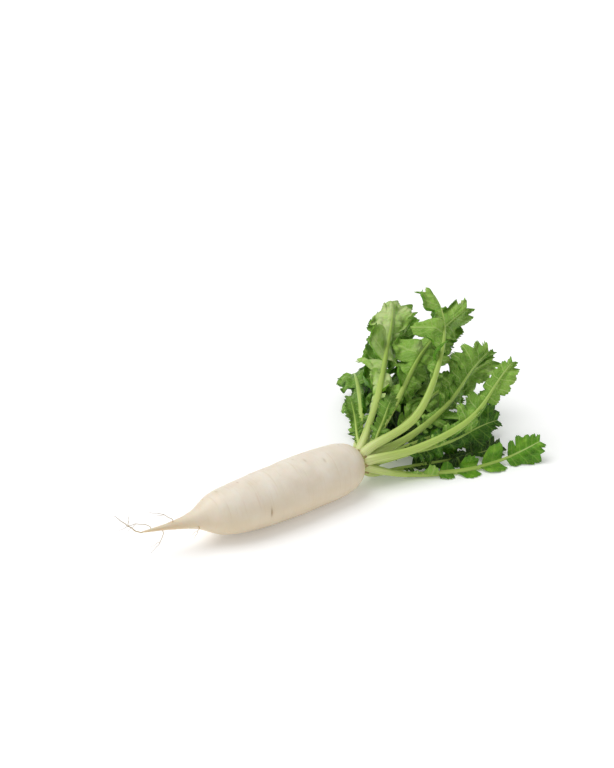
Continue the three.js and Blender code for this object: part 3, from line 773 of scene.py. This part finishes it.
def makeBlade(leaf, number, nodes):
    deselectAll()
    bpy.ops.mesh.primitive_grid_add(x_subdivisions=blade["columns"], y_subdivisions=blade["rows"], size=2)
    piece = bpy.context.object
    piece.name = f"leaf_{number:02d}_lamina"
    grid = readPoints(piece)
    s, q = -grid[:, 0], (grid[:, 1] + 1) / 2
    hand = np.sign(s)
    midrib = leaf["midrib"]
    foot = leaf["bare"] - blade["collar"]
    endStart = (leaf["bare"] + leaf["endStart"] * (1 - leaf["bare"]) - foot) / (1 - foot)
    length = midrib["length"] * (1 - foot)
    out, along, lift, twist, curl, sweep, veinAside = shapeLobes(
        leaf, s, q, foot, length, endStart, np.random.default_rng(100 + number))
    t = foot + (1 - foot) * q
    at, ahead, side, up = (sample(midrib[key], t) for key in ("at", "ahead", "side", "up"))
    core = stalkWidth(leaf, t) / 2 + 0.001
    free = smooth((out - 0.85 * core) / 0.007)  # 0 inside the stalk, 1 well clear of it
    flat = np.stack([q * length, out * hand, 0 * q + number], 1)

    # how far it rises from the midrib: folded up, ruffled, puckered, creased, curled and twisted
    wobble = blade["wobble"] * np.sin(6.1 * q + 2.3 * number + 1.7 * hand)
    bend = np.radians(leaf["fold"] + wobble + lift) * smooth((out - 0.5 * core) / (2.5 * core))
    (long, longSize), (short, shortSize) = blade["waves"]
    wave = long * lumps(flat, longSize, (number, 2, 0)) + short * lumps(flat, shortSize, (0, number, 4))
    edgeWave = blade["edgeWave"] * np.sin(15 * q + number + 1.3 * hand)
    ruffle = (blade["ruffle"] * wave + edgeWave) * out * free
    pucker = blade["pucker"] * lumps(flat, blade["puckerSize"], (4, 0, number)) * free
    creases = np.abs(lumps(flat * (0.7, 1, 1), blade["creaseSize"], (0, 6, number)))
    crease = blade["crease"] * creases * free
    raised = 0.28 * stalkWidth(leaf, t) * stalk["heightShare"] * (1 - 0.6 * smooth(out / core))
    turned = veinAside * np.sin(np.radians(twist)) * free
    rise = raised + out * np.sin(bend) + ruffle + pucker - crease - curl * out * free + turned

    across = hand * out * np.cos(bend) * (1 - 0.3 * np.abs(curl))
    place = at + side * column(across) + up * column(rise) + ahead * column(sweep * out + along)
    # what would sink into the table lies on it instead
    bumpy = 0.0006 * (1 + lumps(flat, 0.01, (7, 7, number)))
    place[:, 2] = np.maximum(place[:, 2], blade["clearance"] + blade["thickness"] + bumpy)
    writePoints(piece, place)
    # each leaf's tone, set darker on low leaves as painted shade, varied at random across it
    tones = leaf["tone"] + blade["toneSpread"] * lumps(flat, blade["toneSize"], (1, number, 9))
    writeValue(piece, "tone", np.clip(tones, 0, 1))
    # veins follow the lobes, and are closer on the young leaves
    finer = 2.4 if leaf["half"] < 0.015 else 1
    piece.data.uv_layers.remove(piece.data.uv_layers[0])
    writeLayout(piece, "veins", finer * np.stack([out, veinAside], 1))

    # where the blade has no width its points are one, and nothing loose stays between its lobes
    bpy.ops.object.mode_set(mode="EDIT")
    bpy.ops.mesh.select_mode(type="VERT")
    bpy.ops.mesh.select_all(action="SELECT")
    bpy.ops.mesh.remove_doubles(threshold=0.000001)
    bpy.ops.mesh.select_all(action="SELECT")
    bpy.ops.mesh.delete_loose()
    bpy.ops.object.mode_set(mode="OBJECT")
    # the second material goes on the face that the thickness adds
    piece.data.materials.append(upperSkin)
    piece.data.materials.append(underSkin)
    applyModifier(piece, "SOLIDIFY", thickness=blade["thickness"], offset=-1, material_offset=1,
                  material_offset_rim=0)
    finishPiece(piece, nodes, [])


for number, leaf in enumerate(leaves, 1):
    leaf["midrib"] = makeMidrib(leaf)
    makeStalk(leaf, number, [f"leaf_{number:02d}_stalk"])
    makeBlade(leaf, number, [f"leaf_{number:02d}_blade"])
    print("leaf", number, "made")


# hair roots

# each: distance from the tail's tip, angle round the root, the points it goes through from there and its
# thickness
hairs = [
    {"along": 0.0, "angle": 0, "thick": 0.0013, "path": [(-0.009, 0.012, 0.005), (-0.010, 0.038, 0.007)]},
    {"along": 0.010, "angle": 60, "thick": 0.0008,
     "path": [(-0.012, 0.010, 0.006), (-0.030, 0.016, 0.002)]},
    {"along": 0.022, "angle": 250, "thick": 0.0008,
     "path": [(-0.006, -0.004, -0.010), (-0.020, -0.006, -0.018)]},
    {"along": 0.034, "angle": 100, "thick": 0.0008,
     "path": [(-0.008, 0.004, 0.010), (-0.022, 0.012, 0.015)]},
    {"along": 0.058, "angle": 200, "thick": 0.0008,
     "path": [(-0.006, -0.009, 0.001), (-0.017, -0.014, -0.005)]},
    {"along": 0.150, "angle": 20, "thick": 0.0007, "path": [(0.003, 0.003, 0.002), (0.005, 0.005, 0.006)]},
]

# what they share: taper is the share of the thickness lost at the end, weave how far they stray, buried
# how deep they start in the root, and straight how far they first go straight out
hairShape = {
    "sides": 8, "rings": 48, "steps": 60, "taper": 0.7, "weave": 0.0011, "weaveSizes": (0.007, 0.006),
    "buried": 0.0004, "straight": 0.0026, "branchThickness": 0.6, "branchSpread": 0.6,
}


def makeHair(name, points, thick, seed):
    at, ahead, length = smoothLine(points, hairShape["steps"])
    side = unit(np.cross((0, 0, 1), ahead))
    up = np.cross(ahead, side)
    tube = addTube(name, hairShape["sides"], hairShape["rings"])
    mesh = readPoints(tube)
    t = mesh[:, 2] + 0.5
    at, side, up = (sample(values, t) for values in (at, side, up))
    radius = thick / 2 * (1 - hairShape["taper"] * t)
    flat = np.stack([t * length, 0 * t, 0 * t], 1)
    weave = hairShape["weave"] * smooth(t / 0.15)
    sideSize, upSize = hairShape["weaveSizes"]
    writePoints(tube, at + side * column(mesh[:, 0] * radius + weave * lumps(flat, sideSize, (seed, 0, 0)))
                + up * column(mesh[:, 1] * radius + weave * lumps(flat, upSize, (0, seed, 0))))
    writeValue(tube, "along", t)
    return tube


for number, hair in enumerate(hairs, 1):
    angle = math.radians(hair["angle"])
    start, outward = rootAxis(hair["along"]), np.array([-1.0, 0, 0])
    if hair["along"] > 0:  # the first leaves the tail's tip instead of its side
        outward = np.array([0, math.cos(angle), math.sin(angle)])
        start = start + outward * (rootRadius(hair["along"]) - hairShape["buried"])
    points = [start, start + outward * hairShape["straight"]] + [start + point for point in hair["path"]]
    piece = makeHair(f"rootlet_{number}", points, hair["thick"], number)
    # a finer branch from its middle, to one side or the other
    middle, ahead = points[2], points[3] - points[2]
    spread = np.cross(ahead, (0, 0, 1)) * hairShape["branchSpread"] * (1 if number % 2 else -1)
    bends = [middle, middle + ahead * 0.35 + spread * 0.4, middle + ahead * 0.7 + spread * 0.8]
    joinTo(piece, [makeHair("branch", bends, hair["thick"] * hairShape["branchThickness"], number + 20)])
    finishPiece(piece, [f"hair_root_{number}"], [hairSkin])
print("hair roots made")


# floor, light and camera

studio = {
    "floorColours": ("#fafafa", "#fbfbfb"), "floorSize": 24, "floorGlow": 0.15, "sky": 0.5,
    "keyFrom": (-0.38, 0.34, 1.0), "keyStrength": 1.8, "keySpread": 50,
    "azimuth": -40, "elevation": 25, "distance": 1.9, "aside": 0.0357, "above": 0.1505, "lens": 79.9,
}

# matt white board, slightly lit from within so that it stays white at its edges
floorSkin, tree = newMaterial("white board, matt")
grain = addNode(tree, "TexNoise", "Fac", {"Scale": 60.0, "Detail": 2.0})
floorTint = addNode(tree, "ValToRGB", "Color", {"Fac": grain}, stops=list(
    zip((0.0, 1.0), studio["floorColours"])))
addShader(tree, {
    "Base Color": floorTint, "Roughness": 0.9, "Emission Color": "#ffffff",
    "Emission Strength": studio["floorGlow"]})
deselectAll()
bpy.ops.mesh.primitive_plane_add(size=studio["floorSize"], location=(0, 0, 0))
floor = bpy.context.object
floor.name = "floor"
floor.data.materials.append(floorSkin)

world = bpy.data.worlds.new("studio sky")
world.use_nodes = True
sky = world.node_tree.nodes["Background"].inputs
sky["Color"].default_value = (1, 1, 1, 1)
sky["Strength"].default_value = studio["sky"]
bpy.context.scene.world = world
# one broad soft light from the upper left
bpy.ops.object.light_add(type="SUN", location=studio["keyFrom"])
key = bpy.context.object
key.name = "key light"
key.data.energy = studio["keyStrength"]
key.data.angle = math.radians(studio["keySpread"])
key.rotation_euler = (-Vector(studio["keyFrom"])).to_track_quat("-Z", "Y").to_euler()

azimuth, elevation = math.radians(studio["azimuth"]), math.radians(studio["elevation"])
right = Vector((math.cos(azimuth), math.sin(azimuth), 0))
back = Vector((math.sin(azimuth) * math.cos(elevation), -math.cos(azimuth) * math.cos(elevation),
               math.sin(elevation)))
above = back.cross(right)
bpy.ops.object.camera_add()
camera = bpy.context.object
camera.data.lens = studio["lens"]
camera.data.clip_end = 100
spot = right * studio["aside"] + above * studio["above"] + back * studio["distance"]
camera.matrix_world = Matrix.Translation(spot) @ Matrix((right, above, back)).transposed().to_4x4()
bpy.context.scene.camera = camera
bpy.context.scene.view_settings.view_transform = "Standard"
print("studio made")
